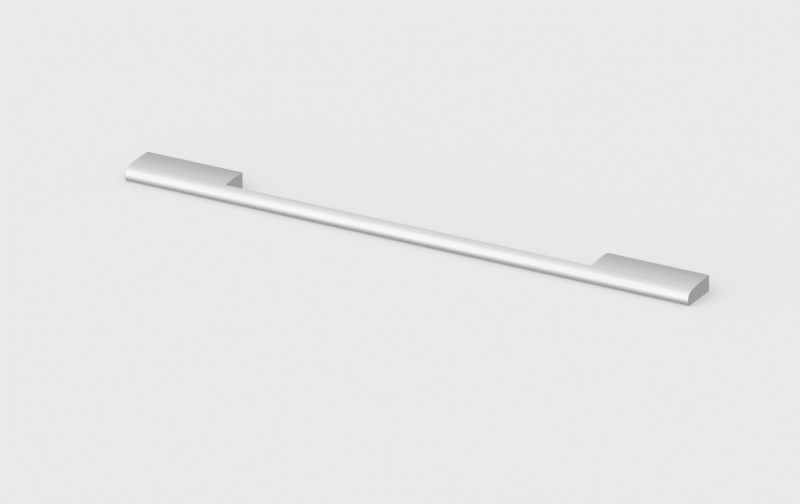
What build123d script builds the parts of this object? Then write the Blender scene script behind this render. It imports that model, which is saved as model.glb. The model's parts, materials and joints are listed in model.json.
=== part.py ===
from build123d import *
from math import acos, asin, cos, degrees, radians, tan
import os

os.makedirs("parts", exist_ok=True)

# Bridge pull handle for a drawer or door front, in millimetres. It is one length of solid
# aluminium profile. The middle of its rear is milled away, which leaves a full-depth foot at
# each end and a slim bar between them for the fingers to close round.
#
# Frame: +X along the handle, its rounded front faces -Y, its feet stand on the plane Y = 0,
# and +Z is up. The origin is midway between the two fixing holes, on the mounting plane.

# --- Driving dimensions ---------------------------------------------------------------------

length = 395.0  # over the two end faces
foot_length = 69.2  # of each foot, along the handle
hole_spacing = 320.0  # ten pitches of 32

# Profile
depth = 27.0  # how far the front stands out from the mounting plane
crown_height = 10.6  # from the underside to the highest line of the crowned top
crown_apex = 5.0  # how far that line lies in front of the mounting plane
crown_radius = 100.0
nose_radius = 5.7
corner_radius = 0.4  # on the profile's three long corners

# Milled finger gap
bar_depth = 6.8  # what is left of the profile's depth between the feet
cutter_radius = 1.0  # in the gap's two inner corners
edge_break = 0.3  # rounding of every sawn or milled edge

# Fixing holes, tapped M4
hole_height = 5.2  # above the underside
hole_depth = 15.0  # to the start of the drill point
tap_drill_radius = 1.65
drill_point_angle = 118.0
countersink_radius = 2.1
countersink_angle = 90.0

# --- Profile geometry -----------------------------------------------------------------------

# Seen along the handle, local x runs to the rear and local y runs up. The crown is one shallow
# arc. The nose is a small arc, tangent to it inside, that carries on past the foremost line
# and tucks back to the underside.
underside = -hole_height
crown_centre = (-crown_apex, underside + crown_height - crown_radius)
nose_centre_x = nose_radius - depth
centre_distance = crown_radius - nose_radius
nose_lean = asin((crown_centre[0] - nose_centre_x) / centre_distance)
nose_centre = (nose_centre_x, crown_centre[1] + centre_distance * cos(nose_lean))

rear_angle = degrees(acos(crown_apex / crown_radius))
tangent_angle = 90 + degrees(nose_lean)
tuck_angle = 180 + degrees(asin((nose_centre[1] - underside) / nose_radius))

# --- Handle ---------------------------------------------------------------------------------

half_gap = length / 2 - foot_length
bar_rear = bar_depth - depth
drill_point = tap_drill_radius / tan(radians(drill_point_angle / 2))
across = Plane(origin=(0, 0, 0), x_dir=(0, 1, 0), z_dir=(1, 0, 0))
mounting_plane = Plane(origin=(0, 0, 0), x_dir=(1, 0, 0), z_dir=(0, 1, 0))

with BuildPart() as handle:
    # Profile, extruded both ways from the middle
    with BuildSketch(across) as profile:
        with BuildLine():
            crown = CenterArc(crown_centre, crown_radius, rear_angle, tangent_angle - rear_angle)
            nose = CenterArc(nose_centre, nose_radius, tangent_angle, tuck_angle - tangent_angle)
            Polyline(nose @ 1, (0, underside), crown @ 0)
        make_face()
        tangent_point = profile.vertices().sort_by_distance(crown @ 1)[0]
        corners = profile.vertices().filter_by(lambda vertex: vertex != tangent_point)
        fillet(corners, corner_radius)
    extrude(amount=length / 2, both=True)

    # Saw-cut ends
    fillet(handle.faces().filter_by(Axis.X).edges(), edge_break)

    # Finger gap, milled right through behind the bar
    with BuildSketch(Plane.XY) as gap:
        with Locations((0, bar_rear)):
            Rectangle(2 * half_gap, 2 * depth, align=(Align.CENTER, Align.MIN))
        fillet(gap.vertices().group_by(Axis.Y)[0], cutter_radius)
    extrude(amount=crown_height, both=True, mode=Mode.SUBTRACT)

    # The gap's rim, without the upright lines where its flat walls run into its corner radii
    milled_edges = handle.edges(Select.LAST)
    rim = milled_edges.filter_by(Axis.Z, reverse=True)
    rear_corners = milled_edges.filter_by(Axis.Z).group_by(Axis.Y)[-1]
    fillet(rim + rear_corners, edge_break)

    # Blind fixing holes with a countersunk mouth and a drill point
    with Locations(mounting_plane):
        with GridLocations(hole_spacing, 0, 2, 1):
            CounterSinkHole(tap_drill_radius, countersink_radius, hole_depth, countersink_angle)
            with Locations((0, 0, -hole_depth)):
                Cone(
                    tap_drill_radius,
                    0,
                    drill_point,
                    rotation=(180, 0, 0),
                    align=(Align.CENTER, Align.CENTER, Align.MIN),
                    mode=Mode.SUBTRACT,
                )

handle.part.label = "handle"
export_step(handle.part, "parts/handle.step")
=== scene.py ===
import json
import math

import bmesh
import bpy
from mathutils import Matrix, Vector


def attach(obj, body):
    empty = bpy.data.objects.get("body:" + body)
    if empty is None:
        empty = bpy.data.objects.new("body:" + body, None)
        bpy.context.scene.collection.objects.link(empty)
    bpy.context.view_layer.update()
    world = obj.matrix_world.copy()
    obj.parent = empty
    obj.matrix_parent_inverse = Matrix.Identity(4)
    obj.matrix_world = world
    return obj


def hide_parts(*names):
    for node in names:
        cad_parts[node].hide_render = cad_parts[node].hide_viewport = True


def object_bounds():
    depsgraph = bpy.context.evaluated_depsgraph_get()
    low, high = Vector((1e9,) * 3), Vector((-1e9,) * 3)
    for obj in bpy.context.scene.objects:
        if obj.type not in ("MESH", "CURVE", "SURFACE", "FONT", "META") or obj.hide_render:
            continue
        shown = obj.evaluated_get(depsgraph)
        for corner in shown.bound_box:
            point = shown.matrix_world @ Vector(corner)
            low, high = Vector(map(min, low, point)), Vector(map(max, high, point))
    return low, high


# A bridge pull handle in satin anodised aluminium, lying on its flat underside. Lengths are in
# metres. The frame's +X runs along the handle, its front faces -Y and its feet end at Y = 0.

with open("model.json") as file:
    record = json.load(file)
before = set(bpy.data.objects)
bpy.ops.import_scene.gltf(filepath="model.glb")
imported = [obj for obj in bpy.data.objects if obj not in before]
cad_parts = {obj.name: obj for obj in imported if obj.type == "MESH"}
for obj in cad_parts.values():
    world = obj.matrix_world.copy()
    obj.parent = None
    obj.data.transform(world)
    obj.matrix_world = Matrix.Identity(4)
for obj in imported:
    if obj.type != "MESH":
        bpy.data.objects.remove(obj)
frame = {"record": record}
cad_low, cad_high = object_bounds()
fixing = next(m for m in frame["record"]["mounts"] if m["name"] == "fixing_holes")

# --- Dimensions of the handle ---------------------------------------------------------------

LENGTH = cad_high.x - cad_low.x
DEPTH = cad_high.y - cad_low.y
UNDERSIDE = cad_low.z
TOP = cad_high.z

FOOT_LENGTH = 0.0692
BAR_DEPTH = 0.0068
CROWN_APEX = 0.005
CROWN_RADIUS = 0.100
NOSE_RADIUS = 0.0057
CORNER_RADIUS = 0.0004
CUTTER_RADIUS = 0.001
EDGE_BREAK = 0.0003

HOLE_SPACING = fixing["dims"]["spacing_x_mm"] / 1000
DRILL_RADIUS = fixing["dims"]["hole_r_mm"] / 1000
HOLE_DEPTH = 0.015
DRILL_POINT_ANGLE = math.radians(118)
TIP_DEPTH = HOLE_DEPTH + DRILL_RADIUS / math.tan(DRILL_POINT_ANGLE / 2)
TIP_RADIUS = 1e-6  # keeps the drill point's last ring from closing up
MOUTH_RADIUS = 0.0021
THREAD_RADIUS = 0.002
THREAD_PITCH = 0.0007
THREAD_DEPTH = 0.012
THREAD_HALF_ANGLE = math.radians(30)  # between the two flanks of a groove, halved
RUN_OUT_PITCHES = 2  # over which the thread fades into the drilled hole

# How finely round stretches are divided
CROWN_STEPS = 24
NOSE_STEPS = 36
CORNER_STEPS = 4
CUTTER_STEPS = 10
WALL_STEPS = 20
BREAK_STEPS = 3
HOLE_SIDES = 40
RINGS_PER_PITCH = 10

MERGE_GAP = 1e-7  # points closer together than this are one
FLARE_END = math.radians(80)  # the gap's rim is rounded this far, and not to a grazing 90
SHARP_ANGLE = math.radians(35)  # from here up, an edge is shaded sharp

# --- Mesh helpers ---------------------------------------------------------------------------


def arc(centre, radius, start, end, steps):
    """Points on an arc, both ends included, each with the direction it has from the centre."""
    angles = [start + (end - start) * i / steps for i in range(steps + 1)]
    directions = [Vector((math.cos(angle), math.sin(angle))) for angle in angles]
    return [(centre + radius * direction, direction) for direction in directions]


def rounded_corner(before, corner, after, radius, steps):
    """The arc that rounds a corner between two straight stretches, as arc gives it."""
    back = (before - corner).normalized()
    on = (after - corner).normalized()
    half = back.angle(on) / 2
    centre = corner + (back + on).normalized() * radius / math.sin(half)
    start = (corner + back * radius / math.tan(half) - centre).normalized()
    end = (corner + on * radius / math.tan(half) - centre).normalized()
    directions = [start.slerp(end, i / steps) for i in range(steps + 1)]
    return [(centre + radius * direction, direction) for direction in directions]


def skin(name, rings):
    """A closed solid through rings of points, capped with its first and its last ring."""
    shape = bmesh.new()
    rings = [[shape.verts.new(point) for point in ring] for ring in rings]
    shape.faces.new(rings[0])
    shape.faces.new(rings[-1])
    count = len(rings[0])
    for near, far in zip(rings, rings[1:]):
        for i in range(count):
            j = (i + 1) % count
            shape.faces.new((near[i], near[j], far[j], far[i]))
    bmesh.ops.remove_doubles(shape, verts=shape.verts, dist=MERGE_GAP)
    bmesh.ops.recalc_face_normals(shape, faces=shape.faces)
    mesh = bpy.data.meshes.new(name)
    shape.to_mesh(mesh)
    shape.free()
    piece = bpy.data.objects.new(name, mesh)
    bpy.context.scene.collection.objects.link(piece)
    return piece


def apply_modifiers(piece):
    depsgraph = bpy.context.evaluated_depsgraph_get()
    done = bpy.data.meshes.new_from_object(piece.evaluated_get(depsgraph))
    piece.modifiers.clear()
    piece.data = done


def cut(piece, cutter):
    """Takes the cutter out of the piece, then deletes the cutter."""
    modifier = piece.modifiers.new("cut", "BOOLEAN")
    modifier.operation = "DIFFERENCE"
    modifier.solver = "EXACT"
    modifier.object = cutter
    apply_modifiers(piece)
    bpy.data.objects.remove(cutter)


# --- Handle ---------------------------------------------------------------------------------

CROWN_CENTRE = Vector((-CROWN_APEX, TOP - CROWN_RADIUS))


def crown(y):
    """Height of the crowned top."""
    return CROWN_CENTRE.y + math.sqrt(CROWN_RADIUS**2 - (y - CROWN_CENTRE.x) ** 2)


def profile():
    """The profile's outline, with x to the rear and y up, each point with its way out."""
    nose_x = NOSE_RADIUS - DEPTH
    reach = CROWN_RADIUS - NOSE_RADIUS
    lean = math.asin((CROWN_CENTRE.x - nose_x) / reach)
    nose_centre = Vector((nose_x, CROWN_CENTRE.y + reach * math.cos(lean)))
    tangent = math.pi / 2 + lean
    tuck = math.pi + math.asin((nose_centre.y - UNDERSIDE) / NOSE_RADIUS)

    rear = math.acos(CROWN_APEX / CROWN_RADIUS)
    top = arc(CROWN_CENTRE, CROWN_RADIUS, rear, tangent, CROWN_STEPS)
    nose = arc(nose_centre, NOSE_RADIUS, tangent, tuck, NOSE_STEPS)
    foot = Vector((0, UNDERSIDE))
    rear_top = rounded_corner(foot, top[0][0], top[1][0], CORNER_RADIUS, CORNER_STEPS)
    front_foot = rounded_corner(nose[-2][0], nose[-1][0], foot, CORNER_RADIUS, CORNER_STEPS)
    rear_foot = rounded_corner(nose[-1][0], foot, top[0][0], CORNER_RADIUS, CORNER_STEPS)
    return rear_foot + rear_top + top[1:] + nose[1:-1] + front_foot


def make_bar():
    """The profile from end to end, with the rim of each sawn end rounded."""
    outline = profile()
    rings = []
    for side in (-1, 1):
        for i in range(BREAK_STEPS + 1):
            angle = math.pi / 2 * (i if side < 0 else BREAK_STEPS - i) / BREAK_STEPS
            inward = EDGE_BREAK * (1 - math.sin(angle))
            x = side * (LENGTH / 2 - EDGE_BREAK * (1 - math.cos(angle)))
            points = [point - direction * inward for point, direction in outline]
            rings.append([(x, point.x, point.y) for point in points])
    return skin("handle_body", rings)


def gap_cutter():
    """What is milled away behind the bar, flared at top and bottom to round the gap's rim."""
    half = LENGTH / 2 - FOOT_LENGTH
    bar_rear = BAR_DEPTH - DEPTH
    corner = Vector((half, bar_rear))
    wall = Vector((half, -EDGE_BREAK))
    mouth_centre = Vector((half + EDGE_BREAK, -EDGE_BREAK))
    mouth = arc(mouth_centre, EDGE_BREAK, math.pi / 2, math.pi, BREAK_STEPS)
    mouth = [(point, -way) for point, way in mouth]
    inner = rounded_corner(wall, corner, Vector((0, bar_rear)), CUTTER_RADIUS, CUTTER_STEPS)
    # The straight wall is divided so that the flare along it follows the crown
    shares = [i / WALL_STEPS for i in range(1, WALL_STEPS)]
    walls = [(wall.lerp(inner[0][0], share), Vector((1, 0))) for share in shares]
    behind = (Vector((half + EDGE_BREAK, DEPTH)), Vector((0, 1)))
    right = [behind] + mouth + walls + inner
    left = [(Vector((-p.x, p.y)), Vector((-w.x, w.y))) for p, w in right[::-1]]
    outline = right + left

    def ring(angle, height):
        """The outline, moved out as far as the flare is at an angle, with its height at each y."""
        out = EDGE_BREAK * (1 - math.cos(angle))
        points = [point + way * out for point, way in outline]
        return [(point.x, point.y, height(point.y)) for point in points]

    clear = TOP - UNDERSIDE
    steps = [FLARE_END * i / BREAK_STEPS for i in range(BREAK_STEPS + 1)]
    rings = [ring(FLARE_END, lambda y: UNDERSIDE - clear)]
    for angle in steps[::-1]:
        inset = EDGE_BREAK * (1 - math.sin(angle))
        rings.append(ring(angle, lambda y: UNDERSIDE + inset))
    for angle in steps:
        inset = EDGE_BREAK * (1 - math.sin(angle))
        rings.append(ring(angle, lambda y: crown(y) - inset))
    rings.append(ring(FLARE_END, lambda y: TOP + clear))
    return skin("gap_cutter", rings)


def thread_radius(phase, run_out):
    """Radius of a cut M4 thread at a share of its pitch, less as the tap runs out."""
    root_half_width = THREAD_PITCH / 16  # the root's flat is an eighth of the pitch wide
    from_root = abs(phase % 1 - 0.5) * THREAD_PITCH
    flank = max(0, from_root - root_half_width) / math.tan(THREAD_HALF_ANGLE)
    return THREAD_RADIUS - flank - run_out * (THREAD_RADIUS - DRILL_RADIUS)


def hole_radius(depth, turn):
    """Radius of the countersunk, drilled and tapped hole, at a depth and a share of a turn."""
    drilled = min(DRILL_RADIUS, (TIP_DEPTH - depth) * math.tan(DRILL_POINT_ANGLE / 2))
    run_out = (depth - THREAD_DEPTH) / (RUN_OUT_PITCHES * THREAD_PITCH) + 1
    run_out = min(1, max(0, run_out))
    thread = thread_radius(depth / THREAD_PITCH - turn, run_out) if run_out < 1 else 0
    return max(MOUTH_RADIUS - depth, drilled, thread, TIP_RADIUS)


def hole_cutter(x):
    """A solid with the form of one tapped hole, from just outside its mouth to its drill point."""
    above = THREAD_PITCH / 2
    spacing = THREAD_PITCH / RINGS_PER_PITCH
    threaded = math.ceil((THREAD_DEPTH + above) / spacing)
    depths = [spacing * i - above for i in range(threaded + 1)] + [HOLE_DEPTH, TIP_DEPTH]
    rings = []
    for depth in depths:
        ring = []
        for side in range(HOLE_SIDES):
            turn = side / HOLE_SIDES
            radius = hole_radius(depth, turn)
            angle = 2 * math.pi * turn
            ring.append((x + radius * math.cos(angle), -depth, radius * math.sin(angle)))
        rings.append(ring)
    return skin("hole_cutter", rings)


def make_handle():
    handle = make_bar()
    cut(handle, gap_cutter())
    for side in (-1, 1):
        cut(handle, hole_cutter(side * HOLE_SPACING / 2))

    # The cuts leave faces with no area
    shape = bmesh.new()
    shape.from_mesh(handle.data)
    bmesh.ops.dissolve_degenerate(shape, dist=MERGE_GAP, edges=shape.edges)
    shape.to_mesh(handle.data)
    shape.free()

    for polygon in handle.data.polygons:
        polygon.use_smooth = True
    handle.data.set_sharp_from_angle(angle=SHARP_ANGLE)
    normals = handle.modifiers.new("normals", "WEIGHTED_NORMAL")
    normals.keep_sharp = True
    normals.weight = 100
    apply_modifiers(handle)

    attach(handle, "root")
    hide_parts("handle")
    return handle


# --- Camera ---------------------------------------------------------------------------------

AZIMUTH = math.radians(29.8)
ELEVATION = math.radians(22.7)
DISTANCE = 4.1
SENSOR_MM = 36
VIEW_WIDTH = 0.4890  # what the picture spans at the handle
SHIFT = (-0.028, -0.0304)  # sets the handle right of and above the picture's middle


def make_camera():
    data = bpy.data.cameras.new("camera")
    data.sensor_width = SENSOR_MM
    data.lens = SENSOR_MM * DISTANCE / VIEW_WIDTH
    data.shift_x, data.shift_y = SHIFT
    data.clip_start = 0.1
    data.clip_end = 100
    camera = bpy.data.objects.new("camera", data)
    bpy.context.scene.collection.objects.link(camera)
    back = Vector((
        math.sin(AZIMUTH) * math.cos(ELEVATION),
        -math.cos(AZIMUTH) * math.cos(ELEVATION),
        math.sin(ELEVATION),
    ))
    camera.rotation_mode = "QUATERNION"
    camera.rotation_quaternion = back.to_track_quat("Z", "Y")
    camera.location = Vector((0, 0, UNDERSIDE)) + back * DISTANCE
    bpy.context.scene.camera = camera


# --- Node helpers ---------------------------------------------------------------------------


def calculate(tree, operation, *values):
    """A math node on sockets or plain numbers, as its output socket."""
    node = tree.nodes.new("ShaderNodeMath")
    node.operation = operation
    for socket, value in zip(node.inputs, values):
        if isinstance(value, (int, float)):
            socket.default_value = value
        else:
            tree.links.new(value, socket)
    return node.outputs[0]


def weighted(tree, *terms):
    """The sum of sockets, each times its weight."""
    total = None
    for value, weight in terms:
        part = calculate(tree, "MULTIPLY", value, weight)
        total = part if total is None else calculate(tree, "ADD", total, part)
    return total


def rise(tree, value, low, high, top=1.0):
    """A smooth rise from 0 at one value to the top at another."""
    node = tree.nodes.new("ShaderNodeMapRange")
    node.interpolation_type = "SMOOTHSTEP"
    node.inputs["From Min"].default_value = low
    node.inputs["From Max"].default_value = high
    node.inputs["To Max"].default_value = top
    tree.links.new(value, node.inputs["Value"])
    return node.outputs["Result"]


def split(tree, vector):
    """A vector's X, Y and Z sockets."""
    node = tree.nodes.new("ShaderNodeSeparateXYZ")
    tree.links.new(vector, node.inputs[0])
    return node.outputs


# --- Light and floor ------------------------------------------------------------------------

# The studio is the world's own light: even all round, with a broad soft light low at the front
# left and a softbox overhead, which reaches down behind the handle to where its edge fades
AROUND = 0.44
FRONT = 0.93
FRONT_TOWARDS = Vector((-0.4536, -0.87, 0.10)).normalized()
FRONT_SPREAD = 3.7
OVERHEAD = 0.48
OVERHEAD_EDGE = (0.37, 0.68)

FLOOR_COLOR = 0.945
FLOOR_HALF = 4.0


def make_world():
    world = bpy.data.worlds.new("studio")
    bpy.context.scene.world = world
    world.use_nodes = True
    tree = world.node_tree
    way = tree.nodes.new("ShaderNodeTexCoord").outputs["Generated"]
    towards = tree.nodes.new("ShaderNodeVectorMath")
    towards.operation = "DOT_PRODUCT"
    towards.inputs[1].default_value = FRONT_TOWARDS
    tree.links.new(way, towards.inputs[0])
    facing = calculate(tree, "MAXIMUM", towards.outputs["Value"], 0.0)
    front = calculate(tree, "MULTIPLY", calculate(tree, "POWER", facing, FRONT_SPREAD), FRONT)
    overhead = rise(tree, split(tree, way)["Z"], *OVERHEAD_EDGE, OVERHEAD)
    light = calculate(tree, "ADD", calculate(tree, "ADD", front, overhead), AROUND)
    background = tree.nodes["Background"]
    background.inputs["Color"].default_value = (1, 1, 1, 1)
    tree.links.new(light, background.inputs["Strength"])


def make_floor():
    half = FLOOR_HALF
    corners = [(-half, -half), (half, -half), (half, half), (-half, half)]
    mesh = bpy.data.meshes.new("floor")
    mesh.from_pydata([(x, y, UNDERSIDE) for x, y in corners], [], [(0, 1, 2, 3)])
    floor = bpy.data.objects.new("floor", mesh)
    bpy.context.scene.collection.objects.link(floor)
    floor.visible_glossy = False  # the metal reflects the studio, not the pale floor
    material = bpy.data.materials.new("floor")
    material.use_nodes = True
    shader = material.node_tree.nodes["Principled BSDF"]
    shader.inputs["Base Color"].default_value = (FLOOR_COLOR, FLOOR_COLOR, FLOOR_COLOR, 1)
    shader.inputs["Roughness"].default_value = 1.0
    shader.inputs["Specular IOR Level"].default_value = 0.0
    mesh.materials.append(material)


# --- Material -------------------------------------------------------------------------------

# Each noise's marks to the metre along X, Y and Z, and its detail
FINE_GRAIN = (50, 5500, 5500), 3
BROAD_GRAIN = (12, 900, 900), 2
TOOL_MARKS = (3800, 3800, 120), 3
BLASTING = (7000, 7000, 7000), 2
PATCHES = (40, 60, 60), 3

MARK_DEPTH = 1.2e-5
DRAWN_ROUGHNESS = 0.34
CUT_ROUGHNESS = 0.42
MARKS_SWING = 0.16
PATCHES_SWING = 0.06
DARK_TINT = (0.745, 0.750, 0.752, 1)
LIGHT_TINT = (0.815, 0.820, 0.823, 1)
TINT_RANGE = (0.30, 0.70)  # of the grain's noise

# A face counts as square to an axis as its normal's share along it rises through the first pair,
# and a rear face counts as the bar's, not a foot's, as Y passes through the second
SQUARE_ON = (0.6, 0.8)
BAR_NOT_FOOT = (-0.014, -0.016)


def stretched_noise(tree, place, scale, detail):
    """Noise drawn out along one axis, as grain is."""
    mapping = tree.nodes.new("ShaderNodeMapping")
    mapping.inputs["Scale"].default_value = scale
    tree.links.new(place, mapping.inputs["Vector"])
    noise = tree.nodes.new("ShaderNodeTexNoise")
    noise.inputs["Scale"].default_value = 1.0
    noise.inputs["Detail"].default_value = detail
    tree.links.new(mapping.outputs["Vector"], noise.inputs["Vector"])
    return noise.outputs["Fac"]


def blend(tree, factor, a, b):
    """a where the factor is 0, b where it is 1."""
    rest = calculate(tree, "SUBTRACT", 1.0, factor)
    return weighted(tree, (rest, a), (factor, b))


def satin_aluminium():
    """Satin anodised aluminium: lengthwise grain, and upright tool marks where it was cut."""
    material = bpy.data.materials.new("satin_anodised_aluminium")
    material.use_nodes = True
    tree = material.node_tree
    shader = tree.nodes["Principled BSDF"]
    shader.inputs["Metallic"].default_value = 1.0

    coordinates = tree.nodes.new("ShaderNodeTexCoord")
    place = coordinates.outputs["Object"]
    normal = split(tree, coordinates.outputs["Normal"])

    # 1 on the sawn ends, the feet's inner faces and the back of the bar
    endwise = rise(tree, calculate(tree, "ABSOLUTE", normal["X"]), *SQUARE_ON)
    rearward = rise(tree, normal["Y"], *SQUARE_ON)
    in_gap = rise(tree, split(tree, place)["Y"], *BAR_NOT_FOOT)
    bar_back = calculate(tree, "MULTIPLY", rearward, in_gap)
    cut_face = calculate(tree, "MAXIMUM", endwise, bar_back)

    fine_grain = stretched_noise(tree, place, *FINE_GRAIN)
    broad_grain = stretched_noise(tree, place, *BROAD_GRAIN)
    tool_marks = stretched_noise(tree, place, *TOOL_MARKS)
    blasting = stretched_noise(tree, place, *BLASTING)
    patches = stretched_noise(tree, place, *PATCHES)
    marks = blend(tree, cut_face, fine_grain, tool_marks)

    bump = tree.nodes.new("ShaderNodeBump")
    bump.inputs["Strength"].default_value = 1.0
    bump.inputs["Distance"].default_value = MARK_DEPTH
    tree.links.new(weighted(tree, (marks, 0.6), (blasting, 0.4)), bump.inputs["Height"])
    tree.links.new(bump.outputs["Normal"], shader.inputs["Normal"])

    # Marks and patches swing the roughness to both sides of what each kind of face has
    uneven = weighted(
        tree,
        (calculate(tree, "SUBTRACT", marks, 0.5), MARKS_SWING),
        (calculate(tree, "SUBTRACT", patches, 0.5), PATCHES_SWING),
    )
    even = blend(tree, cut_face, DRAWN_ROUGHNESS, CUT_ROUGHNESS)
    tree.links.new(calculate(tree, "ADD", even, uneven), shader.inputs["Roughness"])

    tint = tree.nodes.new("ShaderNodeValToRGB")
    for stop, position, color in zip(tint.color_ramp.elements, TINT_RANGE, (DARK_TINT, LIGHT_TINT)):
        stop.position = position
        stop.color = color
    tree.links.new(weighted(tree, (broad_grain, 0.7), (fine_grain, 0.3)), tint.inputs["Fac"])
    tree.links.new(tint.outputs["Color"], shader.inputs["Base Color"])
    return material


make_camera()
make_world()
make_floor()

body = make_handle()
body.data.materials.clear()
body.data.materials.append(satin_aluminium())

bpy.context.scene.view_settings.view_transform = "Standard"
